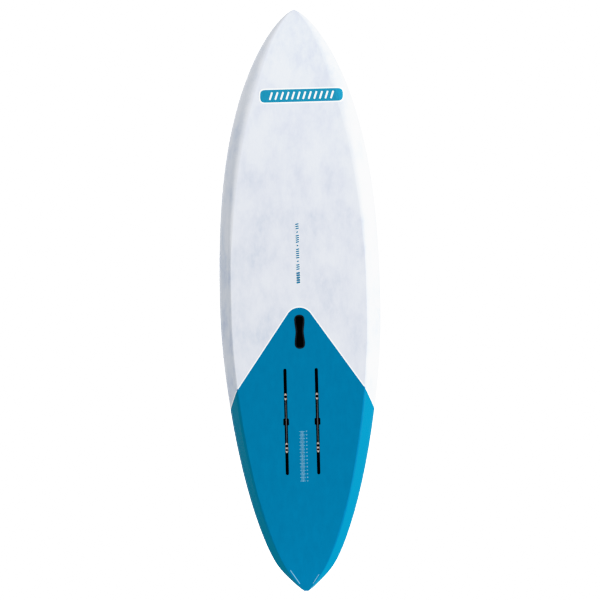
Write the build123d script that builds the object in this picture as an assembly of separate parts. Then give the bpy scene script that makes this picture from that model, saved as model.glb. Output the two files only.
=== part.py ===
from build123d import *

import os
from math import atan2, cos, exp, log, pi, sin, tan

# Hydrofoil board, lying on its flat bottom. Millimetres, +X to the nose, +Y to port, +Z up through the deck.
# The origin is at the middle of the length, on the centreline, on the surface that the board rests on.

# ---- Hull ----
LENGTH = 1676.0
WIDTH = 464.5
DECK_HEIGHT = 124.0          # highest line of the deck, which is the board's thickness
WIDE_POINT = -34.3           # x of the widest section
NOSE_POWER = 2.615           # fullness of the outline forward of the widest section
NOSE_ROUND = 0.70
NOSE_TIP_HALF = 3.0
TAIL_POWER = 1.61            # fullness of the outline behind it
TAIL_ROUND = 0.5416
TAIL_OVERRUN = 3.0           # how far the curved outline aims past the tail end
TAIL_END_HALF = 10.6         # half width of the tail end before the corners are rounded
TAIL_CUT_SLOPE = 1.118       # half width gained per millimetre along the straight tail edges
KNEE_ROUND = 8.0             # how softly the straight tail edges run into the curved outline
FLAT_FRONT = 120.0           # where the bottom starts to rise to the nose
FLAT_REAR = -560.0           # where it starts to rise to the tail
FLAT_TRIM = 0.2              # depth by which the flat trims the bottom curve
NOSE_RISE = 100.0
NOSE_RISE_POWER = 2.4
TAIL_RISE = 16.0
DECK_NOSE_DROP = 8.0
DECK_TAIL_DROP = 82.0
DECK_TAIL_POWER = 1.9
DECK_CROWN = 9.0             # rise of the deck from its shoulders to the centreline
CROWN_TAPER = 0.33           # half width, as a share of the width, under which the crown gets lower
CROWN_MOST = 0.3             # most of the rail's upper part that the crown takes
APEX_SHARE = 0.48            # height of the widest line of the rail, as a share of the thickness
ROUND_TIP = 40.0             # half width under which the nose and tail thin out
ROUND_TIP_POWER = 0.5
BEVEL_WIDTH = 34.0           # width of the bevel between the flat bottom and the rail
BEVEL_TAIL_LOSS = 0.0145     # how much narrower it gets per millimetre towards the tail
BEVEL_MOST = 0.26            # most of the half width that the bevel takes
BEVEL_STEEP = 0.75           # share of the rail's height that the bevel climbs
BEVEL_FLAT = 0.75            # share of the bevel that is flat
CHINE_RADIUS = 13.0
CHINE_TAPER = 0.4            # half width, as a share of the width, under which the rear chine gets sharper
CHINE_SOFT_FROM = 150.0      # x from which the chine gets rounder towards the nose
CHINE_SOFT_GAIN = 45.0       # how much its radius has grown at the nose
CHINE_MOST = 0.8             # most of the bevel, and of the flat beside it, that the round takes
SHOULDER = 46.0              # width of the rail's upper round
SHOULDER_MOST = 0.45
RAIL_FULL = 0.62             # how square the upper round is
STATION_COUNT = 25
BEYOND = 60.0                # how far cutting shapes reach past the hull

# ---- Skins and core ----
SKIN = 2.6
END_CAP = 7.0                # solid laminate at the nose and tail
SEAM_SHARE = 0.2             # height of the seam between the rail's widest line and the deck
STIFFENER = 4.0
STIFFENER_REAR = -470.0
STIFFENER_FRONT = 250.0
STIFFENER_HALF = 140.0
BLOCK_REAR = -540.0
BLOCK_FRONT = -158.0
BLOCK_HALF = 88.0

# ---- Foil tracks ----
TRACK_SPACING = 90.0
SLOT_FRONT = -198.3
SLOT_REAR = -503.0
SLOT_WIDTH = 9.4
ENTRY_X = -351.0
ENTRY_LENGTH = 20.0
ENTRY_WIDTH = 16.8
CORNER = 3.0
LIP_TOP = 8.0                # height of the shelf that the nuts bear on
CHANNEL_TOP = 17.5
TRACK_TOP = 22.5
TRACK_WALL = 6.0
TRACK_END = 12.0

# ---- Nuts and spacers ----
NUT_CLEAR = 0.4
NUT_LIFT = 0.1
NUT_HEIGHT = 7.0
BOSS_BOTTOM = 2.2            # height at which the boss ends, above the board's bottom
BOSS_WIDTH = 8.6
BOSS_TAPER = 6.5             # length of the narrowing at each end of the boss
BOLT_HOLE_RADIUS = 3.4       # tapping size of an M8 thread
FRONT_NUT_X = -279.0         # x of each nut's bolt hole
FRONT_NUT_LENGTH = 19.0
FRONT_NUT_LEAD = 9.5         # from the bolt hole to the nut's front end
REAR_NUT_X = -420.0
REAR_NUT_LENGTH = 28.5
REAR_NUT_LEAD = 9.0
LOCK_HOLE_SPACING = 11.4
LOCK_HOLE_RADIUS = 2.1       # tapping size of an M5 thread
LOCK_HOLE_DEPTH = 9.0
SPACER_WIDTH = 2.8
SPACER_HEIGHT = 2.4
SPACER_BOTTOM = 9.5
SPACER_LAP = 3.0             # length of each end that sits in a nut

# ---- Carry handle ----
HANDLE_X = -93.5
HANDLE_LENGTH = 98.0
HANDLE_LOBE = 30.0
HANDLE_WAIST = 23.5
HANDLE_LOBE_X = 34.0         # where the lobes are widest, from the middle
HANDLE_END_PULL = 9.5        # squareness of the ends
HANDLE_RIM = 5.0
HANDLE_LIP = 6.0
HANDLE_UNDERCUT = 4.5        # reach of the pocket past the rim's outer edge
HANDLE_WALL = 2.5
HANDLE_TOP = 38.0

# ---- Deck pads ----
PAD_HEIGHT = 6.0
PAD_MARGIN = 44.0            # from the pads' edges to the outline
FRONT_PAD = (-150.0, 320.0)
REAR_PAD = (-560.0, -162.0)
TAIL_PAD = (-645.0, -566.0)
PAD_CORNER = 8.0
PAD_GAP = 22.0               # width of the bare strips along the footstrap inserts
PAD_NOSE_BOW = 26.0          # how far the front end of the front pad bows forward
PAD_SPLIT_BOW = 10.0         # how far the gaps between the pads bow back
PAD_TAIL_BOW = 13.0          # how far the rear end of the tail pad bows back
KICK_FRONT = -585.0
KICK_LOW = 3.0
KICK_HIGH = 17.0
KICK_INSET = 4.0

# ---- Footstrap inserts ----
STRAP_X = {"front": 60.0, "rear": -400.0}
STRAP_ROW = 75.0             # from the centreline to each row of inserts
STRAP_LENGTH = 66.0
STRAP_WIDTH = 16.0
STRAP_ROUND = 7.5
STRAP_DEPTH = 20.0
STRAP_HOLE_RADIUS = 2.5      # tapping size of an M6 thread
STRAP_HOLE_PITCH = 20.0
STRAP_HOLE_DEPTH = 17.0

# ---- Vent ----
VENT_X = 400.0
VENT_PROUD = 0.8
VENT_FLANGE_RADIUS = 17.0
VENT_BARREL_RADIUS = 13.0
VENT_DEPTH = 20.0
VENT_SEAT_RADIUS = 10.5
VENT_SEAT_DEPTH = 3.2
VENT_THREAD_RADIUS = 8.0
VENT_THREAD_DEPTH = 13.0
VENT_PASSAGE_RADIUS = 5.0
PLUG_HEAD_RADIUS = 10.2
PLUG_HEAD_BOTTOM = 1.6
PLUG_SHANK_RADIUS = 7.9
PLUG_END = 10.0
PLUG_SLOT_LENGTH = 15.0      # slot for a coin
PLUG_SLOT_WIDTH = 2.4
PLUG_SLOT_ROUND = 0.8
PLUG_SLOT_DEPTH = 1.8
PLUG_PASSAGE_RADIUS = 1.2
RING_RADIUS = 9.1
RING_THICK = 0.78
MEMBRANE_RADIUS = 7.6
MEMBRANE_THICK = 0.6

# ---- Leash cup ----
LEASH_X = -700.0
LEASH_PROUD = 0.8
LEASH_FLANGE_RADIUS = 15.0
LEASH_BARREL_RADIUS = 12.5
LEASH_BORE_RADIUS = 9.5
LEASH_DEPTH = 24.0
LEASH_FLOOR = 3.0
LEASH_PIN_RADIUS = 2.0
LEASH_PIN_DROP = 7.0         # from the deck to the pin's axis
LEASH_PIN_HALF = 11.0


# ---- Hull lines ----
def half_width(x):
    """Half width of the outline seen from above."""
    half = WIDTH / 2
    if x >= WIDE_POINT:
        share = (x - WIDE_POINT) / (LENGTH / 2 - WIDE_POINT)
        return max(NOSE_TIP_HALF, half * (1 - share**NOSE_POWER) ** NOSE_ROUND)
    share = (WIDE_POINT - x) / (LENGTH / 2 + WIDE_POINT + TAIL_OVERRUN)
    curved = half * (1 - share**TAIL_POWER) ** TAIL_ROUND
    straight = TAIL_END_HALF + TAIL_CUT_SLOPE * (x + LENGTH / 2)
    between = abs(curved - straight) / KNEE_ROUND
    return min(curved, straight) - KNEE_ROUND * log(1 + exp(-between))


def hull_heights(x):
    """Heights of the bottom, of the rail's widest line and of the deck on the centreline."""
    to_nose = max(0.0, x - FLAT_FRONT) / (LENGTH / 2 - FLAT_FRONT)
    to_tail = max(0.0, FLAT_REAR - x) / (LENGTH / 2 + FLAT_REAR)
    bottom = NOSE_RISE * to_nose**NOSE_RISE_POWER + TAIL_RISE * to_tail**2 - FLAT_TRIM
    fore = max(0.0, x) / (LENGTH / 2)
    aft = max(0.0, -x) / (LENGTH / 2)
    deck = DECK_HEIGHT - DECK_NOSE_DROP * fore**3 - DECK_TAIL_DROP * aft**DECK_TAIL_POWER
    apex = bottom + APEX_SHARE * (deck - bottom)
    thin = min(1.0, half_width(x) / ROUND_TIP) ** ROUND_TIP_POWER
    return apex + (bottom - apex) * thin, apex, apex + (deck - apex) * thin


def bevel_width(x, half):
    """Width of the bevel between the flat bottom and the rail."""
    if x < 0:
        return min(BEVEL_WIDTH + BEVEL_TAIL_LOSS * x, BEVEL_MOST * half)
    return min(BEVEL_WIDTH * 2 * half / WIDTH, BEVEL_MOST * half)


def chine_radius(x, half):
    """Radius of the round between the flat bottom and the bevel."""
    if x > CHINE_SOFT_FROM:
        return CHINE_RADIUS + CHINE_SOFT_GAIN * (x - CHINE_SOFT_FROM) / (LENGTH / 2 - CHINE_SOFT_FROM)
    return CHINE_RADIUS * min(1.0, half / (CHINE_TAPER * WIDTH))


def stations(end_cap):
    """Places of the sections along the board, closer together at the nose and tail."""
    reach = LENGTH / 2 - end_cap
    return [-reach * cos(pi * i / (STATION_COUNT - 1)) for i in range(STATION_COUNT)]


def section(x, inset):
    """Outline of the hull's section at x, pulled in by inset."""
    low, apex, high = hull_heights(x)
    low += inset
    high -= inset
    half = half_width(x) - inset
    bevel = bevel_width(x, half)
    corner = Vector(0, half - bevel, low)
    knee = Vector(0, half, low + BEVEL_STEEP * (apex - low))
    slope = atan2(knee.Z - corner.Z, bevel)
    most = CHINE_MOST * min(BEVEL_FLAT * (knee - corner).length, half - bevel)
    run = min(chine_radius(x, half) * tan(slope / 2), most)
    radius = run / tan(slope / 2)
    chine_low = corner - Vector(0, run, 0)
    chine_middle = chine_low + Vector(0, radius * sin(slope / 2), radius * (1 - cos(slope / 2)))
    chine_high = corner + Vector(0, run * cos(slope), run * sin(slope))
    rail_low = corner + (knee - corner) * BEVEL_FLAT
    widest = Vector(0, half, apex)
    crown = min(DECK_CROWN * min(1.0, half / (CROWN_TAPER * WIDTH)), CROWN_MOST * (high - apex))
    shoulder = min(SHOULDER, SHOULDER_MOST * half)
    top = Vector(0, half - shoulder, high - crown)
    deck_slope = 2 * crown / (half - shoulder)
    pull_up = widest + Vector(0, 0, RAIL_FULL * (top.Z - apex))
    pull_out = top + Vector(0, 1, -deck_slope) * RAIL_FULL * shoulder

    def placed(point, side):
        return Vector(x, point.Y * side, point.Z)

    def side_edges(side):
        p = [placed(v, side) for v in (chine_low, chine_middle, chine_high, rail_low)]
        q = [placed(v, side) for v in (knee, widest, pull_up, pull_out, top)]
        return [
            ThreePointArc(p[0], p[1], p[2]),
            Line(p[2], p[3]),
            Bezier(p[3], q[0], q[1]),
            Bezier(q[1], q[2], q[3], q[4]),
        ]

    flat = Line(placed(chine_low, -1), placed(chine_low, 1))
    deck = Bezier(placed(top, 1), Vector(x, 0, high + crown), placed(top, -1))
    return Wire([flat] + side_edges(1) + [deck] + side_edges(-1)[::-1])


def hull(inset=0.0, end_cap=0.0):
    """The hull as a solid, with an exactly flat stretch of bottom."""
    body = Solid.make_loft([section(x, inset) for x in stations(end_cap)])
    return body.split(Plane.XY.offset(inset), keep=Keep.TOP)


def deck_at(x):
    """Height of the deck on the centreline."""
    return hull_heights(x)[2]


# ---- Plain shapes ----
def slab(x_range, y_half, z_range):
    """A block centred on the centreline."""
    size_x = x_range[1] - x_range[0]
    size_z = z_range[1] - z_range[0]
    middle = (sum(x_range) / 2, 0, sum(z_range) / 2)
    return Pos(*middle) * Box(size_x, 2 * y_half, size_z)


def column(sketch, z_low, z_high, x=0.0, y=0.0):
    """A flat outline drawn up between two heights."""
    return Pos(x, y, z_low) * extrude(sketch, amount=z_high - z_low)


def rod(radius, z_low, z_high, x=0.0, y=0.0):
    return column(Circle(radius), z_low, z_high, x, y)


# ---- Tracks ----
def slot_opening(z_low, z_high, y):
    """The track's slot and its entry window."""
    length = SLOT_FRONT - SLOT_REAR
    slot = column(SlotOverall(length, SLOT_WIDTH), z_low, z_high, (SLOT_FRONT + SLOT_REAR) / 2, y)
    window = column(RectangleRounded(ENTRY_LENGTH, ENTRY_WIDTH, CORNER), z_low, z_high, ENTRY_X, y)
    return slot + window


def track_envelope(y):
    """The outside of a track."""
    length = SLOT_FRONT - SLOT_REAR + 2 * TRACK_END
    outline = RectangleRounded(length, ENTRY_WIDTH + 2 * TRACK_WALL, CORNER)
    return column(outline, SKIN, TRACK_TOP, (SLOT_FRONT + SLOT_REAR) / 2, y)


def track(y):
    channel = RectangleRounded(SLOT_FRONT - SLOT_REAR, ENTRY_WIDTH, CORNER)
    cut = column(channel, LIP_TOP, CHANNEL_TOP, (SLOT_FRONT + SLOT_REAR) / 2, y)
    return track_envelope(y) - slot_opening(SKIN, LIP_TOP, y) - cut


def boss_outline(length):
    """A nut's boss: nearly as wide as the slot, narrowing to the spacer's width at its ends."""
    end = length / 2
    full = end - BOSS_TAPER
    wide = BOSS_WIDTH / 2
    narrow = SPACER_WIDTH / 2
    port = [(end, narrow), (full, wide), (-full, wide), (-end, narrow)]
    starboard = [(x, -y) for x, y in port[::-1]]
    return make_face(Polyline(*port, *starboard, close=True))


def nut(bolt_x, lead, length, y, spacer):
    """A T-nut: a wide base in the channel and a boss down in the slot."""
    middle = bolt_x + lead - length / 2
    low = LIP_TOP + NUT_LIFT
    high = low + NUT_HEIGHT
    base = column(RectangleRounded(length, ENTRY_WIDTH - 2 * NUT_CLEAR, CORNER), low, high, middle, y)
    boss = column(boss_outline(length), BOSS_BOTTOM, low, middle, y)
    return base + boss - rod(BOLT_HOLE_RADIUS, BOSS_BOTTOM, high, bolt_x, y) - spacer


def spacer(y):
    """The strip that keeps a front and a rear nut at their distance."""
    front = FRONT_NUT_X + FRONT_NUT_LEAD - FRONT_NUT_LENGTH + SPACER_LAP
    rear = REAR_NUT_X + REAR_NUT_LEAD - SPACER_LAP
    strip = Rectangle(front - rear, SPACER_WIDTH)
    return column(strip, SPACER_BOTTOM, SPACER_BOTTOM + SPACER_HEIGHT, (front + rear) / 2, y)


def lock_hole(y):
    """The rear nut's second, blind hole."""
    x = REAR_NUT_X - LOCK_HOLE_SPACING
    return rod(LOCK_HOLE_RADIUS, BOSS_BOTTOM, BOSS_BOTTOM + LOCK_HOLE_DEPTH, x, y)


# ---- Handle ----
def hourglass(grow):
    """The handle's outline, grown by a margin all round."""
    end = HANDLE_LENGTH / 2 + grow
    lobe = HANDLE_LOBE / 2 + grow
    waist = HANDLE_WAIST / 2 + grow
    pull = HANDLE_END_PULL

    def side(s):
        return [
            Bezier((end * s, 0), (end * s, pull * s), (HANDLE_LOBE_X * s + pull * s, lobe * s),
                   (HANDLE_LOBE_X * s, lobe * s)),
            Spline((HANDLE_LOBE_X * s, lobe * s), (0, waist * s), (-HANDLE_LOBE_X * s, lobe * s),
                   tangents=[(-s, 0), (-s, 0)]),
            Bezier((-HANDLE_LOBE_X * s, lobe * s), (-HANDLE_LOBE_X * s - pull * s, lobe * s),
                   (-end * s, pull * s), (-end * s, 0)),
        ]

    return make_face(side(1) + side(-1))


def handle_envelope():
    """The outside of the handle cup above the skin."""
    return column(hourglass(HANDLE_UNDERCUT + HANDLE_WALL), SKIN, HANDLE_TOP, HANDLE_X)


def handle_cup():
    rim = column(hourglass(0), 0, SKIN, HANDLE_X)
    mouth = column(hourglass(-HANDLE_RIM), 0, HANDLE_LIP, HANDLE_X)
    pocket = column(hourglass(HANDLE_UNDERCUT), HANDLE_LIP, HANDLE_TOP - HANDLE_WALL, HANDLE_X)
    return rim + handle_envelope() - mouth - pocket


# ---- Deck pads ----
def pad_outline(x_range, bow_front, bow_rear, margin=PAD_MARGIN):
    """An outline that follows the board's at a margin and has bowed ends."""
    rear, front = x_range
    steps = 6
    places = [rear + (front - rear) * i / steps for i in range(steps + 1)]
    port = [(x, half_width(x) - margin) for x in places]
    starboard = [(x, -y) for x, y in port]
    return make_face([
        Spline(*port),
        ThreePointArc(port[-1], (front + bow_front, 0), starboard[-1]),
        Spline(*starboard[::-1]),
        ThreePointArc(starboard[0], (rear - bow_rear, 0), port[0]),
    ])


def pad_strips(outline):
    """The three strips of a pad, with a gap along each row of footstrap inserts."""
    inner_edge = STRAP_ROW - PAD_GAP / 2
    outer_edge = STRAP_ROW + PAD_GAP / 2
    side_middle = outer_edge + WIDTH / 2
    return {
        "centre": outline & Rectangle(LENGTH, 2 * inner_edge),
        "left": outline & Pos(0, side_middle) * Rectangle(LENGTH, WIDTH),
        "right": outline & Pos(0, -side_middle) * Rectangle(LENGTH, WIDTH),
    }


def deck_layer(outer, outline, low, high):
    """A layer over the deck, between two heights above it."""
    sketch = fillet(outline.vertices(), PAD_CORNER)
    cut = column(sketch, 0, DECK_HEIGHT + BEYOND)
    return (outer.moved(Pos(0, 0, high)) & cut) - outer.moved(Pos(0, 0, low))


def deck_pads(outer):
    pieces = {}
    for name, x_range, bow in (("front", FRONT_PAD, PAD_NOSE_BOW), ("rear", REAR_PAD, -PAD_SPLIT_BOW)):
        outline = pad_outline(x_range, bow, PAD_SPLIT_BOW)
        for part, strip in pad_strips(outline).items():
            pieces["deck_pad_" + name + "_" + part] = deck_layer(outer, strip, 0, PAD_HEIGHT)
    tail = pad_outline(TAIL_PAD, -PAD_SPLIT_BOW, PAD_TAIL_BOW)
    pieces["deck_pad_tail"] = deck_layer(outer, tail, 0, PAD_HEIGHT)
    return pieces


def tail_kick(outer):
    """The wedge on the tail pad, which the back foot bears on."""
    rear = TAIL_PAD[0] + KICK_INSET
    outline = pad_outline((rear, KICK_FRONT), -PAD_TAIL_BOW, PAD_TAIL_BOW, PAD_MARGIN + KICK_INSET)
    layer = deck_layer(outer, outline, PAD_HEIGHT, PAD_HEIGHT + KICK_HIGH)
    front_top = deck_at(KICK_FRONT) + PAD_HEIGHT + KICK_LOW
    rear_top = deck_at(rear) + PAD_HEIGHT + KICK_HIGH
    above = make_face(Polyline(
        (rear, 0, rear_top), (KICK_FRONT, 0, front_top),
        (KICK_FRONT, 0, DECK_HEIGHT + BEYOND), (rear, 0, DECK_HEIGHT + BEYOND), close=True))
    return layer - extrude(above, amount=WIDTH, both=True, dir=(0, 1, 0))


# ---- Footstrap inserts ----
def strap_insert(outer, x, y):
    """A plug flush with the deck, with three threaded holes."""
    low = deck_at(x) - DECK_CROWN - STRAP_DEPTH
    outline = RectangleRounded(STRAP_LENGTH, STRAP_WIDTH, STRAP_ROUND)
    return outer & column(outline, low, DECK_HEIGHT + BEYOND, x, y)


def strap_holes(x, y):
    top = deck_at(x)
    holes = [rod(STRAP_HOLE_RADIUS, top - STRAP_HOLE_DEPTH, top + BEYOND, x + STRAP_HOLE_PITCH * i, y)
             for i in (-1, 0, 1)]
    return holes[0] + holes[1] + holes[2]


# ---- Vent ----
def vent_envelope():
    top = deck_at(VENT_X)
    flange = rod(VENT_FLANGE_RADIUS, top - SKIN, top + VENT_PROUD, VENT_X)
    return flange + rod(VENT_BARREL_RADIUS, top - VENT_DEPTH, top, VENT_X)


def vent_housing():
    top = deck_at(VENT_X)
    seat = rod(VENT_SEAT_RADIUS, top - VENT_SEAT_DEPTH, top + VENT_PROUD, VENT_X)
    thread = rod(VENT_THREAD_RADIUS, top - VENT_THREAD_DEPTH, top, VENT_X)
    passage = rod(VENT_PASSAGE_RADIUS, top - VENT_DEPTH, top, VENT_X)
    return vent_envelope() - seat - thread - passage


def vent_plug():
    top = deck_at(VENT_X)
    head_top = top + VENT_PROUD
    head = rod(PLUG_HEAD_RADIUS, top - PLUG_HEAD_BOTTOM, head_top, VENT_X)
    shank = rod(PLUG_SHANK_RADIUS, top - PLUG_END, top, VENT_X)
    outline = RectangleRounded(PLUG_SLOT_LENGTH, PLUG_SLOT_WIDTH, PLUG_SLOT_ROUND)
    slot = column(outline, head_top - PLUG_SLOT_DEPTH, head_top, VENT_X)
    passage = rod(PLUG_PASSAGE_RADIUS, top - PLUG_END, head_top, VENT_X)
    return head + shank - slot - passage


def vent_oring():
    height = deck_at(VENT_X) - (VENT_SEAT_DEPTH + PLUG_HEAD_BOTTOM) / 2
    return Pos(VENT_X, 0, height) * Torus(RING_RADIUS, RING_THICK)


def vent_membrane():
    low = deck_at(VENT_X) - VENT_THREAD_DEPTH
    return rod(MEMBRANE_RADIUS, low, low + MEMBRANE_THICK, VENT_X)


# ---- Leash cup ----
def leash_pin():
    height = deck_at(LEASH_X) - LEASH_PIN_DROP
    return Pos(LEASH_X, 0, height) * Rot(90, 0, 0) * Cylinder(LEASH_PIN_RADIUS, 2 * LEASH_PIN_HALF)


def leash_envelope(outer, inner):
    raised = outer.moved(Pos(0, 0, LEASH_PROUD))
    floor = deck_at(LEASH_X) - LEASH_DEPTH
    ceiling = DECK_HEIGHT
    flange = (raised & rod(LEASH_FLANGE_RADIUS, floor, ceiling, LEASH_X)) - inner
    return flange + (raised & rod(LEASH_BARREL_RADIUS, floor, ceiling, LEASH_X))


def leash_cup(envelope):
    floor = deck_at(LEASH_X) - LEASH_DEPTH + LEASH_FLOOR
    return envelope - rod(LEASH_BORE_RADIUS, floor, DECK_HEIGHT, LEASH_X) - leash_pin()


# ---- Skins and core ----
def below_seam():
    """Everything below the line along the rail where the two skins meet."""
    places = stations(0.0)
    heights = []
    for x in places:
        apex, high = hull_heights(x)[1:]
        heights.append(apex + SEAM_SHARE * (high - apex))
    rear = (places[0] - BEYOND, 0, heights[0])
    front = (places[-1] + BEYOND, 0, heights[-1])
    points = [rear] + [(x, 0, z) for x, z in zip(places, heights)] + [front]
    seam = Spline(*points)
    frame = Polyline(front, (front[0], 0, -BEYOND), (rear[0], 0, -BEYOND), rear)
    return extrude(make_face([seam, frame]), amount=WIDTH, both=True, dir=(0, 1, 0))


def build():
    """Make every piece and return them by name."""
    outer = hull()
    inner = hull(SKIN, END_CAP)
    sides = {"left": TRACK_SPACING / 2, "right": -TRACK_SPACING / 2}
    pieces = {}

    for name, y in sides.items():
        link = spacer(y)
        pieces["track_" + name] = track(y)
        pieces["nut_front_" + name] = nut(FRONT_NUT_X, FRONT_NUT_LEAD, FRONT_NUT_LENGTH, y, link)
        rear = nut(REAR_NUT_X, REAR_NUT_LEAD, REAR_NUT_LENGTH, y, link)
        pieces["nut_rear_" + name] = rear - lock_hole(y)
        pieces["nut_spacer_" + name] = link

    leash = leash_envelope(outer, inner)
    pieces["handle_cup"] = handle_cup()
    pieces["vent_housing"] = vent_housing()
    pieces["vent_plug"] = vent_plug()
    pieces["vent_oring"] = vent_oring()
    pieces["vent_membrane"] = vent_membrane()
    pieces["leash_cup"] = leash_cup(leash)
    pieces["leash_pin"] = leash_pin()

    pieces.update(deck_pads(outer))
    pieces["tail_kick"] = tail_kick(outer)

    plugs = {}
    for place, x in STRAP_X.items():
        for name, y in (("left", STRAP_ROW), ("right", -STRAP_ROW)):
            plug = strap_insert(outer, x, y)
            plugs["strap_insert_" + place + "_" + name] = plug
            pieces["strap_insert_" + place + "_" + name] = plug - strap_holes(x, y)

    fittings = list(plugs.values()) + [handle_envelope(), vent_envelope(), leash]
    tracks = [track_envelope(y) for y in sides.values()]
    sheet_box = slab((STIFFENER_REAR, STIFFENER_FRONT), STIFFENER_HALF, (0, DECK_HEIGHT + BEYOND))
    sheet = (inner & sheet_box) - inner.moved(Pos(0, 0, -STIFFENER))
    block = inner & slab((BLOCK_REAR, BLOCK_FRONT), BLOCK_HALF, (0, DECK_HEIGHT + BEYOND))

    shell = outer - inner
    for fitting in fittings:
        shell -= fitting
        sheet -= fitting
        block -= fitting
    for y in sides.values():
        shell -= slot_opening(0, SKIN, y)
    shell -= column(hourglass(0), 0, SKIN, HANDLE_X)
    lower = below_seam()

    core = inner - slab((BLOCK_REAR, BLOCK_FRONT), BLOCK_HALF, (0, DECK_HEIGHT + BEYOND))
    for fitting in fittings + [sheet]:
        core -= fitting
    block -= sheet
    for box in tracks:
        block -= box

    pieces["bottom_skin"] = shell & lower
    pieces["deck_skin"] = shell - lower
    pieces["foam_core"] = core
    pieces["track_block"] = block
    pieces["deck_stiffener"] = sheet
    return pieces


os.makedirs("parts", exist_ok=True)
for node, piece in build().items():
    export_step(piece, "parts/" + node + ".step")
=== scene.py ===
import math

import bmesh
import bpy
from mathutils import Matrix, Vector
from mathutils.bvhtree import BVHTree

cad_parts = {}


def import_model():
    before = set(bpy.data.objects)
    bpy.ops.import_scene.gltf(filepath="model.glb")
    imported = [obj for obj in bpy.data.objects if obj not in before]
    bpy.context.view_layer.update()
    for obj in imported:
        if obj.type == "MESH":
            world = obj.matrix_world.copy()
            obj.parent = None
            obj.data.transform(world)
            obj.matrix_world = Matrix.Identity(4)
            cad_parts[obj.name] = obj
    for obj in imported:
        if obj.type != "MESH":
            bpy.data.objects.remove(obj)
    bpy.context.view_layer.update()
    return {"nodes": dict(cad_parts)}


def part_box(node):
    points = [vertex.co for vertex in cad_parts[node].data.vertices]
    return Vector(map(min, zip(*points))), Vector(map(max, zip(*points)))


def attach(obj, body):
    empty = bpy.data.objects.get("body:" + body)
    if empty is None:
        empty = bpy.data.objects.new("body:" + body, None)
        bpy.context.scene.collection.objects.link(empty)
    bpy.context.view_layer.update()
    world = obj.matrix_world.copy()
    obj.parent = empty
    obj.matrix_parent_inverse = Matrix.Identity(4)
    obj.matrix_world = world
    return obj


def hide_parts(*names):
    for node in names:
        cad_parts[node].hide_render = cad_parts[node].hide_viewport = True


# A hydrofoil board, seen from below. Metres, +X to the nose, +Y to port, +Z up through the deck.

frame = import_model()
NODES = frame["nodes"]
UP = Vector((0, 0, 1))

# ---- Camera and light ----
LENS = 200.0                      # millimetres, like the sensor's width
SENSOR = 36.0
CAMERA_DISTANCE = 9.541
TARGET = Vector((-0.0027, 0.0033, 0.0))
LEAN = math.radians(3.0)          # the camera's angle from straight below towards +Y
TILT = math.radians(1.39)         # the board's turn in the picture
WORLD_LIGHT = 0.67
BACKDROP = 2.0                    # what the camera sees behind the board: pure white
KEY_SPREAD = math.radians(65.0)   # the key light's angle from straight below towards +Y
KEY_AWAY = 12.0
KEY_SIZE = 5.3
KEY_POWER = 1510.0
CEILING_POWER = 1.3
CEILING_SPREAD = math.radians(70.0)   # how wide the soft sun above looks
CEILING_TURN = (math.radians(25.0), math.radians(15.0), 0.0)   # from straight above
WHITE_LEVEL = 1.6                 # light that comes out as pure white
# The tone curve: light in, level out.
TONE = ((0.006, 0.002), (0.05, 0.046), (0.12, 0.115), (0.25, 0.245), (0.40, 0.408), (0.50, 0.54),
        (0.60, 0.645), (0.75, 0.765), (1.0, 0.935), (1.3, 0.975))
FLOOR_HALF = 20.0
FLOOR_HEIGHT = -0.001

# ---- Printed graphics ----
PROUD = 0.0002                    # height of a printed layer over the skin
BLUE_RISE = 0.413                 # how the border's distance from the centreline counts height
BLUE_CIRCLE = 0.0404              # radius of the border's round end
BLUE_CIRCLE_X = -0.0642
BLUE_CIRCLE_REACH = 0.0331
BLUE_LINE = 0.0066                # where the straight border would cross the centreline
BLUE_SLOPE = 1.4416
SPRAY_OVERLAP = 0.0015            # how far the blue runs in under the white line
SPRAY_SOFTNESS = 0.0004           # half the width of the blue's soft edge
STRIPE = 0.0028                   # width of the white line
STRIPE_POINTS = 640
STRIPE_CROWDING = 0.35            # how much closer the points lie across the flat bottom and deck
STRIPE_ACROSS = (-0.1, 0.25, 0.6, 1.0)   # shares of the width, from the blue outwards
RAY_HEIGHT = 0.052                # height that the border's rays come in to
APEX_REACH = 0.75 * BLUE_CIRCLE_REACH    # so far out the border is worked out on the flat bottom
BORDER_REAR, BORDER_FRONT = -0.5, 0.05   # the border's rays are searched between these
SEARCH_STEPS = 24
# A dash's half thickness, half height and pitch.
BOLD_DASH = (0.0026, 0.0029, 0.0068)
THIN_DASH = (0.0020, 0.0029, 0.0060)
LAST_DASH = (0.0020, 0.0029, 0.0062)
DOT = (0.0019, 0.0010, 0.0060)
DASH_GROUPS = ((5, BOLD_DASH), (3, THIN_DASH), (1, DOT), (5, THIN_DASH), (1, DOT), (4, THIN_DASH), (1, DOT),
               (3, LAST_DASH))

# ---- Nuts ----
TRACK_Y = 0.045
BOSS_FACE = 0.0022                # height of the nuts' lowest face
BOSS_EDGE = 0.0027                # from the track's middle to where the painted shade on the boss's sides begins
# The holes' x, and how far the painted black shade in each hole reaches from its middle.
BOLT_HOLES = ((-0.279, 0.0041), (-0.420, 0.0041), (-0.4314, 0.0032))


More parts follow.
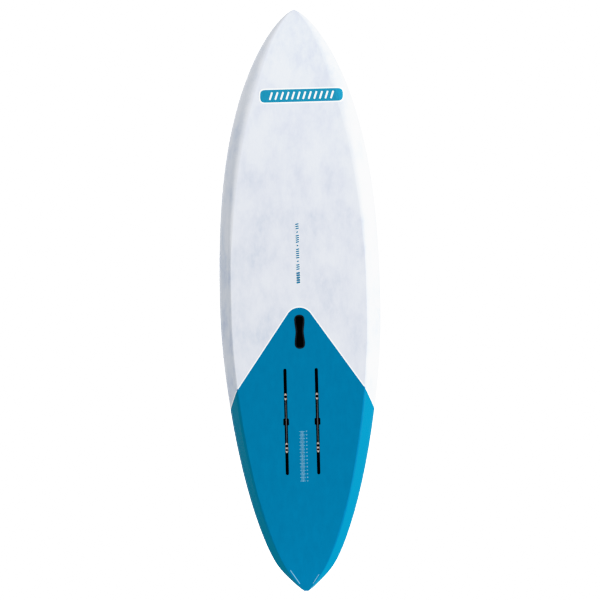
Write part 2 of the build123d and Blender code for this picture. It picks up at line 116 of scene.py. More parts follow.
# ---- Materials ----
class Paint:
    """Builds one procedural material from the object's own coordinates."""

    def __init__(self, name, specular):
        self.material = bpy.data.materials.new(name)
        self.material.use_nodes = True
        self.tree = self.material.node_tree
        self.shader = self.tree.nodes["Principled BSDF"]
        self.shader.inputs["Specular IOR Level"].default_value = specular
        self.place = self.tree.nodes.new("ShaderNodeTexCoord").outputs["Object"]
        self.normal = None

    def put(self, value, socket):
        """Gives a socket a number or colour, or links another node's output to it."""
        if isinstance(value, bpy.types.NodeSocket):
            self.tree.links.new(value, socket)
        elif isinstance(value, tuple) and len(value) == 3 and socket.type == "RGBA":
            socket.default_value = (*value, 1.0)
        else:
            socket.default_value = value

    def calc(self, operation, *values, clamp=False):
        node = self.tree.nodes.new("ShaderNodeMath")
        node.operation = operation
        node.use_clamp = clamp
        for value, socket in zip(values, node.inputs):
            self.put(value, socket)
        return node.outputs[0]

    def axes(self):
        """The object's own X, Y and Z at each point."""
        node = self.tree.nodes.new("ShaderNodeSeparateXYZ")
        self.put(self.place, node.inputs[0])
        return node.outputs

    def flatness(self):
        """How flat the surface lies: 1 where it faces straight up or down, 0 where it stands upright."""
        node = self.tree.nodes.new("ShaderNodeSeparateXYZ")
        self.put(self.tree.nodes.new("ShaderNodeTexCoord").outputs["Normal"], node.inputs[0])
        return self.calc("ABSOLUTE", node.outputs[2])

    def stretched(self, stretch, shift=(0, 0, 0)):
        node = self.tree.nodes.new("ShaderNodeMapping")
        self.put(self.place, node.inputs["Vector"])
        node.inputs["Scale"].default_value = stretch
        node.inputs["Location"].default_value = shift
        return node.outputs[0]

    def noise(self, scale, detail=3.0, roughness=0.5, stretch=(1, 1, 1), shift=(0, 0, 0)):
        node = self.tree.nodes.new("ShaderNodeTexNoise")
        self.put(self.stretched(stretch, shift), node.inputs["Vector"])
        node.inputs["Scale"].default_value = scale
        node.inputs["Detail"].default_value = detail
        node.inputs["Roughness"].default_value = roughness
        return node.outputs[0]

    def cells(self, scale):
        node = self.tree.nodes.new("ShaderNodeTexVoronoi")
        self.put(self.place, node.inputs["Vector"])
        node.inputs["Scale"].default_value = scale
        return node.outputs["Distance"]

    def between(self, value, low, high, to_low=0.0, to_high=1.0):
        """The value's place between low and high, spread over to_low to to_high."""
        node = self.tree.nodes.new("ShaderNodeMapRange")
        for item, socket in zip((value, low, high, to_low, to_high), node.inputs):
            self.put(item, socket)
        return node.outputs[0]

    def mix(self, share, first, second):
        node = self.tree.nodes.new("ShaderNodeMix")
        node.data_type = "RGBA"
        colours = [s for s in node.inputs if s.type == "RGBA"]
        self.put(share, node.inputs[0])
        self.put(first, colours[0])
        self.put(second, colours[1])
        return [s for s in node.outputs if s.type == "RGBA"][0]

    def bump(self, height, depth, strength):
        """Adds a layer of bump to those before it."""
        node = self.tree.nodes.new("ShaderNodeBump")
        node.inputs["Strength"].default_value = strength
        node.inputs["Distance"].default_value = depth
        self.put(height, node.inputs["Height"])
        if self.normal is not None:
            self.put(self.normal, node.inputs["Normal"])
        self.normal = node.outputs["Normal"]

    def done(self, colour, roughness, **others):
        """Connects the shader. others are its further sockets, with _ for a space."""
        self.put(colour, self.shader.inputs["Base Color"])
        self.put(roughness, self.shader.inputs["Roughness"])
        for name, value in others.items():
            self.put(value, self.shader.inputs[name.replace("_", " ")])
        if self.normal is not None:
            self.put(self.normal, self.shader.inputs["Normal"])
        return self.material


def laminate():
    """White sandwich skin with a brushed, cloudy finish, sprayed blue behind a curved border."""
    p = Paint("laminate", specular=0.06)
    x, y, z = p.axes()
    reach = p.calc("ADD", p.calc("ABSOLUTE", y), p.calc("MULTIPLY", z, BLUE_RISE))
    inside = p.calc("SUBTRACT", BLUE_CIRCLE**2, p.calc("MULTIPLY", reach, reach))
    circle = p.calc("ADD", BLUE_CIRCLE_X, p.calc("SQRT", p.calc("MAXIMUM", inside, 0.0)))
    line = p.calc("SUBTRACT", BLUE_LINE, p.calc("MULTIPLY", reach, BLUE_SLOPE))
    near = p.calc("LESS_THAN", reach, BLUE_CIRCLE_REACH)
    border = p.calc("ADD", p.calc("MULTIPLY", near, circle),
                    p.calc("MULTIPLY", p.calc("SUBTRACT", 1.0, near), line))
    behind = p.calc("SUBTRACT", p.calc("ADD", border, SPRAY_OVERLAP), x)
    blue = p.between(behind, -SPRAY_SOFTNESS, SPRAY_SOFTNESS)

    clouds = p.noise(1.0, 5.0, 0.62, (6.5, 10.0, 10.0), (2.0, 0.7, 0.0))
    wisps = p.noise(1.0, 6.0, 0.7, (24.0, 52.0, 52.0), (0.0, 3.0, 0.0))
    streaks = p.noise(1.0, 3.0, 0.7, (16.0, 420.0, 420.0))
    cloud = p.calc("MULTIPLY", p.between(clouds, 0.38, 0.70), p.between(wisps, 0.25, 0.7), clamp=True)
    white = p.mix(cloud, (0.69, 0.715, 0.765), (0.45, 0.51, 0.64))
    white = p.mix(p.between(streaks, 0.3, 0.75, 0.0, 0.26), white, (0.57, 0.62, 0.705))
    shade = p.mix(p.between(wisps, 0.35, 0.7), (0.0, 0.169, 0.335), (0.0, 0.188, 0.362))
    shade = p.mix(p.between(streaks, 0.3, 0.8, 0.0, 0.2), shade, (0.0, 0.150, 0.295))
    # The bevelled rails are painted a little lighter and greener than the flat bottom and deck: a painted
    # highlight tint for the light they catch.
    shade = p.mix(p.between(p.flatness(), 0.95, 0.8), shade, (0.0, 0.210, 0.345))
    p.bump(p.noise(420.0, 2.0), 0.00003, 0.5)
    p.bump(streaks, 0.00004, 0.5)
    scuffs = p.noise(1.0, 4.0, 0.7, (30.0, 90.0, 90.0), (5.0, 0.0, 0.0))
    return p.done(p.mix(blue, white, shade), p.between(scuffs, 0.35, 0.7, 0.36, 0.5),
                  Specular_Tint=(0.4, 0.8, 1.0))


def moulded(name, dark, light, roughness, specular=0.4):
    """Moulded plastic: a fine texture, slow colour change and paler rubbed patches."""
    p = Paint(name, specular)
    slow = p.noise(14.0, 3.0)
    rubbed = p.between(p.noise(75.0, 5.0, 0.7), 0.58, 0.75, 0.0, 0.35)
    colour = p.mix(p.between(slow, 0.35, 0.65), dark, light)
    colour = p.mix(rubbed, colour, tuple(min(1.0, 2.2 * c + 0.01) for c in light))
    p.bump(p.noise(900.0, 2.0), 0.00006, 0.6)
    return p.done(colour, p.between(slow, 0.3, 0.7, roughness - 0.06, roughness + 0.08))


def brass():
    """The nuts' metal: turned and stained, with painted shade further in and on the boss's sides, and
    painted black shade in the bolt holes.
    """
    p = Paint("nut_metal", specular=0.5)
    x, y, z = p.axes()
    turned = p.noise(1.0, 3.0, 0.6, (90.0, 900.0, 900.0))
    stain = p.noise(160.0, 4.0, 0.6)
    colour = p.mix(p.between(turned, 0.3, 0.7), (0.54, 0.46, 0.40), (0.76, 0.70, 0.64))
    colour = p.mix(p.between(stain, 0.55, 0.75, 0.0, 0.6), colour, (0.38, 0.17, 0.09))
    # Painted shade: darker further in, above the nut's lowest face.
    colour = p.mix(p.between(z, BOSS_FACE + 0.0004, BOSS_FACE + 0.002), colour, (0.16, 0.05, 0.025))
    off = p.calc("SUBTRACT", p.calc("ABSOLUTE", y), TRACK_Y)
    # Painted shade: darker towards the boss's sides, past its flat face.
    edge = p.between(p.calc("ABSOLUTE", off), BOSS_EDGE, BOSS_EDGE + 0.0008)
    colour = p.mix(edge, colour, (0.16, 0.05, 0.03))
    # Painted shade: black round each bolt hole, for the shadow in its thread.
    for bolt_x, reach in BOLT_HOLES:
        along = p.calc("SUBTRACT", x, bolt_x)
        square = p.calc("ADD", p.calc("MULTIPLY", along, along), p.calc("MULTIPLY", off, off))
        away = p.calc("SQRT", square)
        colour = p.mix(p.between(away, reach, reach + 0.0003, 1.0, 0.0), colour, (0.004, 0.003, 0.003))
    p.bump(turned, 0.00006, 0.5)
    return p.done(colour, p.between(stain, 0.3, 0.7, 0.3, 0.5), Metallic=0.6)


def steel():
    """Drawn steel, with fine lines along it."""
    p = Paint("pin_metal", specular=0.5)
    drawn = p.noise(1.0, 3.0, 0.6, (900.0, 40.0, 900.0))
    colour = p.mix(drawn, (0.42, 0.42, 0.44), (0.66, 0.66, 0.68))
    p.bump(drawn, 0.00003, 0.5)
    return p.done(colour, p.between(drawn, 0.3, 0.7, 0.2, 0.38), Metallic=1.0)


def eva(name, dark, light):
    """Closed-cell foam sheet: tiny open cells, speckle and slight fading."""
    p = Paint(name, specular=0.25)
    fade = p.noise(5.0, 3.0)
    speckle = p.noise(1300.0, 2.0, 0.6)
    colour = p.mix(p.between(fade, 0.35, 0.65), dark, light)
    colour = p.mix(p.between(speckle, 0.55, 0.72, 0.0, 0.5), colour, tuple(1.9 * c for c in light))
    worn = p.between(p.noise(26.0, 5.0, 0.7), 0.55, 0.75, 0.0, 0.3)
    colour = p.mix(worn, colour, tuple(1.5 * c + 0.01 for c in light))
    p.bump(p.cells(1500.0), 0.00012, 0.6)
    p.bump(p.noise(300.0, 3.0), 0.0001, 0.4)
    return p.done(colour, p.between(speckle, 0.3, 0.7, 0.72, 0.92), Sheen_Weight=0.12)


def ink(name, colour, faded):
    """Screen-printed paint with thin spots."""
    p = Paint(name, specular=0.25)
    thin = p.noise(1.0, 4.0, 0.7, (60.0, 260.0, 260.0))
    p.bump(p.noise(700.0, 2.0), 0.00002, 0.5)
    return p.done(p.mix(p.between(thin, 0.45, 0.75), colour, faded), p.between(thin, 0.3, 0.7, 0.36, 0.5))


def core_foam(name, dark, light):
    """Bead foam, as its cut face shows it."""
    p = Paint(name, specular=0.2)
    beads = p.cells(240.0)
    colour = p.mix(p.between(beads, 0.1, 0.7), light, dark)
    p.bump(beads, 0.0003, 0.5)
    return p.done(colour, p.between(beads, 0.1, 0.7, 0.8, 0.95))


def membrane():
    """The vent's woven cloth."""
    p = Paint("vent_cloth", specular=0.2)
    x, y, _ = p.axes()
    turns = 9000.0                # of the weave's waves, in radians per metre
    weave = p.calc("MULTIPLY", p.calc("SINE", p.calc("MULTIPLY", x, turns)),
                   p.calc("SINE", p.calc("MULTIPLY", y, turns)))
    p.bump(weave, 0.00005, 0.6)
    return p.done(p.mix(p.between(weave, -1.0, 1.0), (0.70, 0.71, 0.72), (0.9, 0.9, 0.9)),
                  p.between(weave, -1.0, 1.0, 0.7, 0.9))


SKIN = laminate()
BLACK = moulded("fitting_plastic", (0.010, 0.011, 0.012), (0.022, 0.023, 0.026), 0.42)
FINISHES = {
    "bottom_skin": SKIN,
    "deck_skin": SKIN,
    "foam_core": core_foam("bead_foam", (0.72, 0.74, 0.76), (0.93, 0.94, 0.95)),
    "track_block": core_foam("block_foam", (0.60, 0.50, 0.30), (0.84, 0.74, 0.52)),
    "deck_stiffener": core_foam("sheet_foam", (0.56, 0.46, 0.28), (0.78, 0.68, 0.48)),
    "track": moulded("track_plastic", (0.0015, 0.0015, 0.002), (0.004, 0.004, 0.005), 0.5, specular=0.04),
    "nut_spacer": moulded("spacer_plastic", (0.11, 0.11, 0.12), (0.18, 0.18, 0.195), 0.45),
    "nut": brass(),
    "handle_cup": moulded("handle_plastic", (0.008, 0.010, 0.013), (0.014, 0.017, 0.021), 0.45,
                          specular=0.05),
    "vent_plug": moulded("plug_plastic", (0.03, 0.03, 0.033), (0.06, 0.06, 0.065), 0.4),
    "vent_oring": moulded("seal_rubber", (0.012, 0.012, 0.012), (0.03, 0.03, 0.03), 0.7),
    "vent_membrane": membrane(),
    "leash_pin": steel(),
    "strap_insert": moulded("insert_plastic", (0.02, 0.02, 0.022), (0.045, 0.045, 0.05), 0.5),
}


def finish_for(name):
    """The finish whose key is the longest start of the node's name."""
    keys = [key for key in FINISHES if name.startswith(key)]
    return FINISHES[max(keys, key=len)] if keys else BLACK


for name, node in NODES.items():
    node.data.materials.clear()
    node.data.materials.append(finish_for(name))


# ---- Surfaces to build on ----
def tree_of(names):
    """One search tree over some CAD nodes, which sit in their true places."""
    points, faces = [], []
    for name in names:
        mesh = NODES[name].data
        start = len(points)
        points += [v.co.copy() for v in mesh.vertices]
        faces += [[start + i for i in p.vertices] for p in mesh.polygons]
    return BVHTree.FromPolygons(points, faces)


FAR = 1.0                         # clear above or below the whole board
EDGE_STEP = 0.004
EDGE_STEPS = 100
LEVEL_ENOUGH = 0.85               # upward part of a normal that still counts as the top
DECK_LOWEST = 0.04                # a ray that gets lower has gone through a hole in the deck
NO_DECK_HEIGHT = 0.1              # used where no deck is found
HULL = tree_of(["bottom_skin", "deck_skin"])
KICK = tree_of(["tail_kick"])


def under(x, y):
    """The point of the bottom below (x, y)."""
    return HULL.ray_cast(Vector((x, y, -FAR)), UP)[0]


def deck_height(tree, x, y):
    """Height of the top at (x, y); past its edge or on a steep side, the height just inside."""
    step = EDGE_STEP if y < 0 else -EDGE_STEP
    for i in range(EDGE_STEPS):
        point, normal, _, _ = tree.ray_cast(Vector((x, y + step * i, FAR)), -UP)
        if point is not None and point.z > DECK_LOWEST and abs(normal.z) > LEVEL_ENOUGH:
            return point.z
    return NO_DECK_HEIGHT


def make_object(name, points, faces, material, body="board"):
    """A mesh object of one material that moves with a body."""
    mesh = bpy.data.meshes.new(name)
    mesh.from_pydata([tuple(p) for p in points], [], faces)
    mesh.update()
    mesh.materials.append(material)
    obj = bpy.data.objects.new(name, mesh)
    bpy.context.scene.collection.objects.link(obj)
    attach(obj, body)
    return obj


# ---- Printed graphics ----
class Print:
    """A printed layer: strips of quads laid on the bottom."""

    def __init__(self, name, material, layer=1):
        self.name = name
        self.material = material
        self.lift = PROUD * layer
        self.points = []
        self.faces = []

    def join(self, rows):
        """Joins rows of points, all of one length, into quads."""
        start = len(self.points)
        width = len(rows[0])
        for row in rows:
            self.points += row
        for i in range(len(rows) - 1):
            for j in range(width - 1):
                a = start + i * width + j
                self.faces.append([a, a + 1, a + width + 1, a + width])

    def patch(self, grid):
        """Lays a grid of (x, y) pairs on the bottom."""
        self.join([[under(x, y) - UP * self.lift for x, y in line] for line in grid])

    def pill(self, start, end, radius, across=6, along=10, squareness=2.0, ends=5):
        """A bar between two points. Its ends are round, or more square as squareness goes up from 2."""
        start, end = Vector(start), Vector(end)
        way = (end - start).normalized()
        side = Vector((-way.y, way.x))
        length = (end - start).length
        grid = []
        stops = [-math.cos(math.pi / 2 * i / ends) * radius for i in range(ends)]
        stops += [length * i / along for i in range(along + 1)]
        stops += [length + math.sin(math.pi / 2 * i / ends) * radius for i in range(1, ends + 1)]
        for s in stops:
            past = max(-s, s - length, 0.0) / radius
            half = radius * max(0.0, 1 - past**squareness) ** (1 / squareness)
            middle = start + way * s
            grid.append([tuple(middle + side * half * (2 * j / across - 1)) for j in range(across + 1)])
        self.patch(grid)

    def bar(self, x, y, length_x, length_y, parts=1):
        """An oblong round (x, y), in parts along X."""
        self.patch([[(x + length_x * (i / parts - 0.5), y + length_y * (j - 0.5)) for j in (0, 1)]
                    for i in range(parts + 1)])

    def done(self):
        obj = make_object(self.name, self.points, self.faces, self.material)


WHITE_INK = ink("white_ink", (0.93, 0.935, 0.94), (0.84, 0.87, 0.90))
TEAL_INK = ink("teal_ink", (0.0, 0.225, 0.355), (0.01, 0.275, 0.425))
BLUE_INK = ink("blue_ink", (0.0, 0.15, 0.29), (0.03, 0.22, 0.36))
PALE_INK = ink("pale_ink", (0.21, 0.47, 0.60), (0.08, 0.34, 0.49))


def border_offset(point):
    """How far a point lies in front of the blue border."""
    reach = abs(point.y) + BLUE_RISE * point.z
    if reach < BLUE_CIRCLE_REACH:
        return point.x - BLUE_CIRCLE_X - math.sqrt(max(0.0, BLUE_CIRCLE**2 - reach**2))
    return point.x - BLUE_LINE + BLUE_SLOPE * reach


def border_point(angle):
    """Where the blue border crosses the rays at this angle round the board, and the way out there."""
    way = Vector((0, math.cos(angle), math.sin(angle)))
    if way.z < 0 and abs(way.y / way.z) * RAY_HEIGHT < APEX_REACH:
        y = -way.y / way.z * RAY_HEIGHT
        return Vector((BLUE_CIRCLE_X + math.sqrt(BLUE_CIRCLE**2 - y**2), y, 0)), -UP
    low, high = BORDER_REAR, BORDER_FRONT
    for _ in range(SEARCH_STEPS):
        x = (low + high) / 2
        point, normal, _, _ = HULL.ray_cast(Vector((x, 0, RAY_HEIGHT)) + way, -way)
        if point is None:
            return None
        if border_offset(point) > 0:
            high = x
        else:
            low = x
    return point, normal if normal.dot(way) > 0 else -normal


def border_stripe():
    """The white line along the blue border, once round the hull."""
    stripe = Print("border_stripe", WHITE_INK)
    ring = []
    for i in range(STRIPE_POINTS):
        angle = 2 * math.pi * (i / STRIPE_POINTS)
        angle += STRIPE_CROWDING * math.sin(2 * angle)
        found = border_point(angle)
        if found:
            ring.append(found)
    rows = []
    for i, (point, normal) in enumerate(ring):
        ahead = ring[(i + 1) % len(ring)][0]
        back = ring[i - 1][0]
        across = normal.cross(ahead - back).normalized()
        if across.x < 0:
            across.negate()
        row = []
        for part in STRIPE_ACROSS:
            found, way, _, _ = HULL.find_nearest(point + across * STRIPE * part)
            way = way if way.dot(normal) > 0 else -way
            row.append(found + way * stripe.lift)
        rows.append(row)
    rows.append([p.copy() for p in rows[0]])
    stripe.join(rows)
    stripe.done()


def nose_band():
    """A bar across the nose with a white rim and a plain slanted pattern, which has no lettering."""
    x, y, half, radius, rim_width = 0.585, 0.020, 0.1225, 0.0220, 0.0034
    ends = (x, y - half + radius), (x, y + half - radius)
    shape = {"across": 14, "along": 90, "squareness": 3.2, "ends": 14}
    rim = Print("band_rim", WHITE_INK)
    rim.pill(*ends, radius, **shape)
    rim.done()
    fill = Print("band_fill", TEAL_INK, 2)
    fill.pill(*ends, radius - rim_width, **shape)
    fill.done()
    marks = Print("band_marks", WHITE_INK, 3)
    count, first, pitch = 12, y - 0.088, 0.016
    reach, slant, thick = 0.0085, 0.0028, 0.0024
    for i in range(count):
        centre = first + pitch * i
        marks.pill((x - reach, centre - slant), (x + reach, centre + slant), thick,
                   across=2, along=6, squareness=5.0)
    marks.done()


def size_dashes():
    """Groups of plain upright dashes in place of the printed size, each in a pale rim that is a painted
    light halo, not print.
    """
    painted_halo = Print("dash_painted_halo", WHITE_INK)
    dashes = Print("size_dashes", BLUE_INK, 2)
    x, lean, gap, rim = 0.0475, 0.0006, 0.0044, 0.0010
    for count, (thick, tall, pitch) in DASH_GROUPS:
        for _ in range(count):
            # The halo layer is a pale rim painted round each dash: painted light, not print.
            for layer, wide in ((painted_halo, thick + rim), (dashes, thick)):
                layer.pill((x - lean, -tall), (x + lean, tall), wide, across=2, along=2, squareness=4.0)
            x += pitch
        x += gap
    painted_halo.done()
    dashes.done()


def ruler():
    """The scale between the tracks, for setting both sides of a foil alike."""
    scale = Print("track_scale", PALE_INK)
    top, pitch, count = -0.379, 0.01014, 15
    thick, fine, shift = 0.0011, 0.0005, 0.0004
    long_mark, spine_past, blob_tall = 0.0158, 0.004, 0.0036
    fine_marks = (0.0105, 0.012, 0.0105, 0.012)
    blobs = ((0.0118, 0.0013), (0.0138, 0.0011))   # y and width of what stands for each number
    for i in range(count):
        x = top - pitch * i
        scale.bar(x, -shift, thick, long_mark, 2)
        for y, width in blobs:
            scale.bar(x + shift, y, blob_tall, width)
        if i < count - 1:
            for j, length in enumerate(fine_marks, 1):
                scale.bar(x - pitch * j / 5, 0.0, fine, length, 2)
    scale.bar(top - pitch * (count - 1) / 2, 0.0, pitch * (count - 1) + spine_past, thick, 30)
    scale.done()


def tail_marks():
    """A short slanted mark on each side of the tail."""
    marks = Print("tail_marks", PALE_INK)
    marks.pill((-0.777, -0.043), (-0.815, -0.018), 0.0011, across=2, along=14)
    marks.pill((-0.790, 0.038), (-0.815, 0.021), 0.0008, across=2, along=12)
    marks.done()


border_stripe()
nose_band()
size_dashes()
ruler()
tail_marks()


# ---- Deck pads ----
def top_outline(node):
    """The outline of a pad's top face, as a loop of points in order."""
    bm = bmesh.new()
    bm.from_mesh(node.data)
    bmesh.ops.remove_doubles(bm, verts=bm.verts, dist=1e-6)
    bm.normal_update()
    follow = {}
    for edge in bm.edges:
        if len(edge.link_faces) != 2:
            continue
        # An edge of the outline lies between a face that looks up and one that doesn't.
        up = [f.normal.z > 0.5 for f in edge.link_faces]
        if up[0] != up[1]:
            a, b = edge.verts
            follow.setdefault(a.index, []).append(b.index)
            follow.setdefault(b.index, []).append(a.index)
    bm.verts.ensure_lookup_table()
    first = min(follow)
    loop, last = [first], None
    while True:
        nexts = [i for i in follow[loop[-1]] if i != last]
        last = loop[-1]
        if nexts[0] == first:
            break
        loop.append(nexts[0])
    points = [bm.verts[i].co.copy() for i in loop]
    bm.free()
    turn = sum(a.x * b.y - b.x * a.y for a, b in zip(points, points[1:] + points[:1]))
    return points if turn > 0 else points[::-1]


def even_outline(points, step):
    """The loop again with points about a step apart, and none closer than about half a step."""
    out = []
    for a, b in zip(points, points[1:] + points[:1]):
        parts = max(1, round((b - a).length / step))
        out += [a.lerp(b, i / parts) for i in range(parts)]
    thinned = [out[0]]
    for p in out[1:]:
        if (p - thinned[-1]).length > step * 0.45:
            thinned.append(p)
    return thinned


def chamfered_cutter(points, chamfer):
    """A closed wall round the pad's outline that leans in over its top edge."""
    count = len(points)
    reach, overshoot = 0.06, 0.0006   # past the pad, and past its top before the wall stands up again
    inner = []
    for i, p in enumerate(points):
        along = (points[(i + 1) % count] - points[i - 1]).xy.normalized()
        inner.append(p + Vector((-along.y, along.x, 0)) * chamfer)
    rings = [
        [p - UP * reach for p in points],
        [p - UP * chamfer for p in points],
        [p + UP * overshoot for p in inner],
        [p + UP * reach for p in inner],
    ]
    verts = [p for ring in rings for p in ring]
    faces = [list(range(count))[::-1], list(range(3 * count, 4 * count))]
    for r in range(3):
        for i in range(count):
            j = (i + 1) % count
            faces.append([r * count + i, r * count + j, (r + 1) * count + j, (r + 1) * count + i])
    bm = bmesh.new()
    made = [bm.verts.new(v) for v in verts]
    for f in faces:
        bm.faces.new([made[i] for i in f])
    caps = [f for f in bm.faces if len(f.verts) > 4]
    bmesh.ops.triangulate(bm, faces=caps)
    bmesh.ops.recalc_face_normals(bm, faces=bm.faces)
    return bm


def lines(low, high, pitch, offsets):
    """Grid lines from low to high, and whether each is the bottom of a groove."""
    out = []
    k = math.floor(low / pitch) - 1
    while k * pitch < high + pitch:
        out += [(k * pitch + offset, offset == 0) for offset in offsets]
        k += 1
    return [line for line in out if low <= line[0] <= high]


def grooved_slab(points, turn, grids, levels):
    """A closed slab that covers the outline, with V grooves in its top."""
    way = Vector((math.cos(turn), math.sin(turn)))
    side = Vector((-way.y, way.x))
    margin = 0.012
    x_low, x_high = min(p.x for p in points) - margin, max(p.x for p in points) + margin
    y_low, y_high = min(p.y for p in points) - margin, max(p.y for p in points) + margin
    corners = [Vector((x, y)) for x in (x_low, x_high) for y in (y_low, y_high)]
    a_lines = lines(min(c.dot(way) for c in corners), max(c.dot(way) for c in corners), *grids[0])
    b_lines = lines(min(c.dot(side) for c in corners), max(c.dot(side) for c in corners), *grids[1])
    bm = bmesh.new()
    tops, lows = [], []
    for a, a_groove in a_lines:
        for b, b_groove in b_lines:
            flat = way * a + side * b
            low, top = levels(flat.x, flat.y)
            if a_groove or b_groove:
                top -= GROOVE_DEPTH
            tops.append(bm.verts.new((flat.x, flat.y, top)))
            lows.append(bm.verts.new((flat.x, flat.y, low)))
    rows, width = len(a_lines), len(b_lines)
    for i in range(rows - 1):
        for j in range(width - 1):
            quad = [i * width + j, (i + 1) * width + j, (i + 1) * width + j + 1, i * width + j + 1]
            bm.faces.new([tops[k] for k in quad])
            bm.faces.new([lows[k] for k in quad[::-1]])
    rim = list(range(width))
    rim += [i * width + width - 1 for i in range(1, rows)]
    rim += [(rows - 1) * width + j for j in range(width - 2, -1, -1)]
    rim += [i * width for i in range(rows - 2, 0, -1)]
    for k, n in zip(rim, rim[1:] + rim[:1]):
        bm.faces.new([tops[k], tops[n], lows[n], lows[k]])
    bmesh.ops.triangulate(bm, faces=bm.faces)
    bmesh.ops.recalc_face_normals(bm, faces=bm.faces)
    return bm


def to_object(bm, name):
    """Puts a finished bmesh into the scene."""
    mesh = bpy.data.meshes.new(name)
    bm.to_mesh(mesh)
    bm.free()
    obj = bpy.data.objects.new(name, mesh)
    bpy.context.scene.collection.objects.link(obj)
    return obj


def foam_piece(node_name, material, turn, grids, levels, chamfer):
    """A moulded foam piece in place of a CAD pad: grooved top, chamfered edge."""
    outline = even_outline(top_outline(NODES[node_name]), OUTLINE_STEP)
    piece = to_object(grooved_slab(outline, turn, grids, levels), "eva_" + node_name)
    cutter = to_object(chamfered_cutter(outline, chamfer), "cutter")
    trim = piece.modifiers.new("trim", "BOOLEAN")
    trim.operation = "INTERSECT"
    trim.solver = "EXACT"
    trim.object = cutter
    bpy.context.view_layer.update()
    shaped = bpy.data.meshes.new_from_object(piece.evaluated_get(bpy.context.evaluated_depsgraph_get()))
    piece.modifiers.clear()
    piece.data = shaped
    bpy.data.objects.remove(cutter)
    piece.data.materials.clear()
    piece.data.materials.append(material)
    for polygon in piece.data.polygons:
        polygon.material_index = 0
    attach(piece, "board")
    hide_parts(node_name)


PAD_FOAM = eva("pad_foam", (0.026, 0.029, 0.034), (0.036, 0.040, 0.047))
KICK_FOAM = eva("kick_foam", (0.010, 0.010, 0.012), (0.016, 0.016, 0.018))
PAD_HEIGHT = 0.006
CLEAR = 0.00005                   # between a pad and what it lies on
OUTLINE_STEP = 0.006
GROOVE_DEPTH = 0.0012
PAD_CHAMFER = 0.0026
KICK_CHAMFER = 0.0018
KICK_MARGIN = 0.001               # how far inside the kick's ends its top is measured
# A grid's pitch, and the lines in each pitch. The line at 0 is the bottom of a groove.
DIAMOND = (0.030, (-0.0016, 0.0, 0.0016, 0.010, 0.020))
RIB = (0.012, (-0.0015, 0.0, 0.0015, 0.006))
PLAIN = (0.012, (0.006,))


def pad_levels(x, y):
    """Heights of a pad's underside and top."""
    deck = deck_height(HULL, x, y)
    return deck + CLEAR, deck + PAD_HEIGHT


def kick_levels(x, y):
    """Heights of the kick's underside and top."""
    rear, front = (corner.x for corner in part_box("tail_kick"))
    inside = min(max(x, rear + KICK_MARGIN), front - KICK_MARGIN)
    return deck_height(HULL, x, y) + PAD_HEIGHT + CLEAR, deck_height(KICK, inside, y)


for name in sorted(NODES):
    if name.startswith("deck_pad"):
        foam_piece(name, PAD_FOAM, math.pi / 4, (DIAMOND, DIAMOND), pad_levels, PAD_CHAMFER)
foam_piece("tail_kick", KICK_FOAM, 0.0, (PLAIN, RIB), kick_levels, KICK_CHAMFER)


# ---- Floor, light and camera ----
def floor():
    """A pale floor, which a camera below it looks straight through."""
    mesh = bpy.data.meshes.new("floor")
    signs = ((-1, -1), (1, -1), (1, 1), (-1, 1))
    mesh.from_pydata([(x * FLOOR_HALF, y * FLOOR_HALF, FLOOR_HEIGHT) for x, y in signs], [], [[0, 1, 2, 3]])
    obj = bpy.data.objects.new("floor", mesh)
    bpy.context.scene.collection.objects.link(obj)
    p = Paint("floor", specular=0.2)
    grain = p.noise(3.0, 4.0)
    p.done(p.mix(grain, (0.70, 0.70, 0.70), (0.76, 0.76, 0.76)), p.between(grain, 0.3, 0.7, 0.6, 0.8))
    tree = p.tree
    clear = tree.nodes.new("ShaderNodeBsdfTransparent")
    choice = tree.nodes.new("ShaderNodeMixShader")
    side = tree.nodes.new("ShaderNodeNewGeometry")
    tree.links.new(side.outputs["Backfacing"], choice.inputs[0])
    tree.links.new(p.shader.outputs[0], choice.inputs[1])
    tree.links.new(clear.outputs[0], choice.inputs[2])
    tree.links.new(choice.outputs[0], tree.nodes["Material Output"].inputs["Surface"])
    mesh.materials.append(p.material)
    # It takes the board's shadow, and doesn't darken the bottom.
    obj.visible_diffuse = False
    obj.visible_glossy = False
    obj.visible_transmission = False
    obj.visible_shadow = False


def world():
    """Even light from all round, and a pure white backdrop."""
    light = bpy.data.worlds.new("studio")
    light.use_nodes = True
    tree = light.node_tree
    tree.nodes.clear()
    rays = tree.nodes.new("ShaderNodeLightPath")
    strength = tree.nodes.new("ShaderNodeMix")
    # Inputs 2 and 3 are the two plain numbers that it mixes.
    strength.inputs[2].default_value = WORLD_LIGHT
    strength.inputs[3].default_value = BACKDROP
    glow = tree.nodes.new("ShaderNodeBackground")
    glow.inputs["Color"].default_value = (1, 1, 1, 1)
    out = tree.nodes.new("ShaderNodeOutputWorld")
    tree.links.new(rays.outputs["Is Camera Ray"], strength.inputs[0])
    tree.links.new(strength.outputs[0], glow.inputs["Strength"])
    tree.links.new(glow.outputs[0], out.inputs["Surface"])
    bpy.context.scene.world = light


def area_light(name, place, size, power, aim=Vector((0, 0, 0))):
    """A soft square light."""
    data = bpy.data.lights.new(name, "AREA")
    data.size = size
    data.energy = power
    obj = bpy.data.objects.new(name, data)
    obj.location = place
    obj.rotation_euler = (aim - Vector(place)).to_track_quat("-Z", "Y").to_euler()
    obj.visible_camera = False
    bpy.context.scene.collection.objects.link(obj)


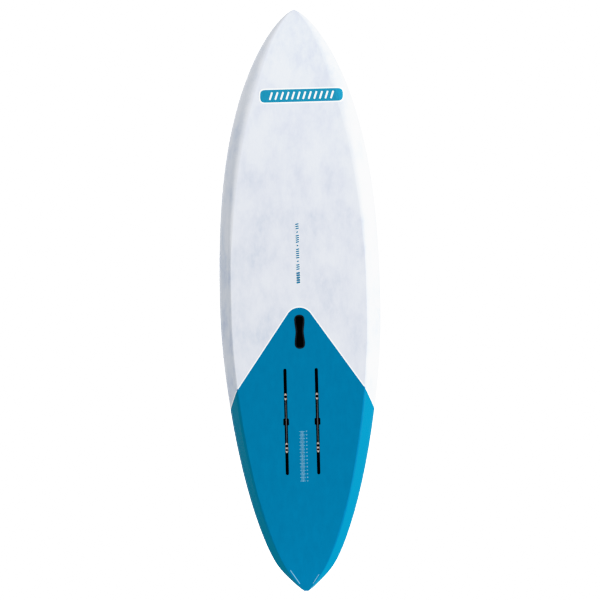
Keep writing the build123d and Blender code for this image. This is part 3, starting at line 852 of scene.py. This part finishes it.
def ceiling_light():
    """Even light from above, which keeps the floor pale as far as it goes."""
    data = bpy.data.lights.new("ceiling", "SUN")
    data.energy = CEILING_POWER
    data.angle = CEILING_SPREAD
    obj = bpy.data.objects.new("ceiling", data)
    obj.rotation_euler = CEILING_TURN
    bpy.context.scene.collection.objects.link(obj)


def camera():
    """Straight below the board, a little to one side, with the nose up in the picture."""
    away = Vector((0, -math.sin(LEAN), math.cos(LEAN)))
    right = Vector((0, math.cos(LEAN), math.sin(LEAN)))
    top = Vector((1, 0, 0))
    r = right * math.cos(TILT) - top * math.sin(TILT)
    u = top * math.cos(TILT) + right * math.sin(TILT)
    data = bpy.data.cameras.new("camera")
    data.lens = LENS
    data.sensor_width = SENSOR
    data.clip_end = 100.0
    obj = bpy.data.objects.new("camera", data)
    place = TARGET - away * CAMERA_DISTANCE
    obj.matrix_world = Matrix.Translation(place) @ Matrix((r, u, -away)).transposed().to_4x4()
    bpy.context.scene.collection.objects.link(obj)
    bpy.context.scene.camera = obj


def tone_curve():
    """Deepens the dark tones a little, lifts the middle ones and eases into white."""
    picture = bpy.context.scene.view_settings
    picture.view_transform = "Standard"
    picture.use_curve_mapping = True
    tone = picture.curve_mapping
    tone.use_clip = False
    tone.extend = "HORIZONTAL"
    tone.white_level = (WHITE_LEVEL, WHITE_LEVEL, WHITE_LEVEL)
    curve = tone.curves[3]
    curve.points[0].location = (0.0, 0.0)
    curve.points[1].location = (1.0, 1.0)
    for light_in, level_out in TONE:
        curve.points.new(light_in / WHITE_LEVEL, level_out)
    for point in curve.points:
        point.handle_type = "AUTO_CLAMPED"
    tone.update()


floor()
world()
area_light("key_below", (0.0, KEY_AWAY * math.sin(KEY_SPREAD), -KEY_AWAY * math.cos(KEY_SPREAD)),
           KEY_SIZE, KEY_POWER)
area_light("nose_fill", (1.3, 0.0, -0.6), size=0.5, power=1.9, aim=Vector((0.7, 0.0, 0.0)))
area_light("tail_fill", (-1.15, 0.1, -0.40), size=0.4, power=0.6, aim=Vector((-0.75, 0.0, 0.0)))
area_light("top_soft", (1.2, -1.6, 3.0), size=2.5, power=30.0)
area_light("top_fill", (-2.0, 1.0, 2.6), size=2.0, power=10.0)
ceiling_light()
camera()
tone_curve()
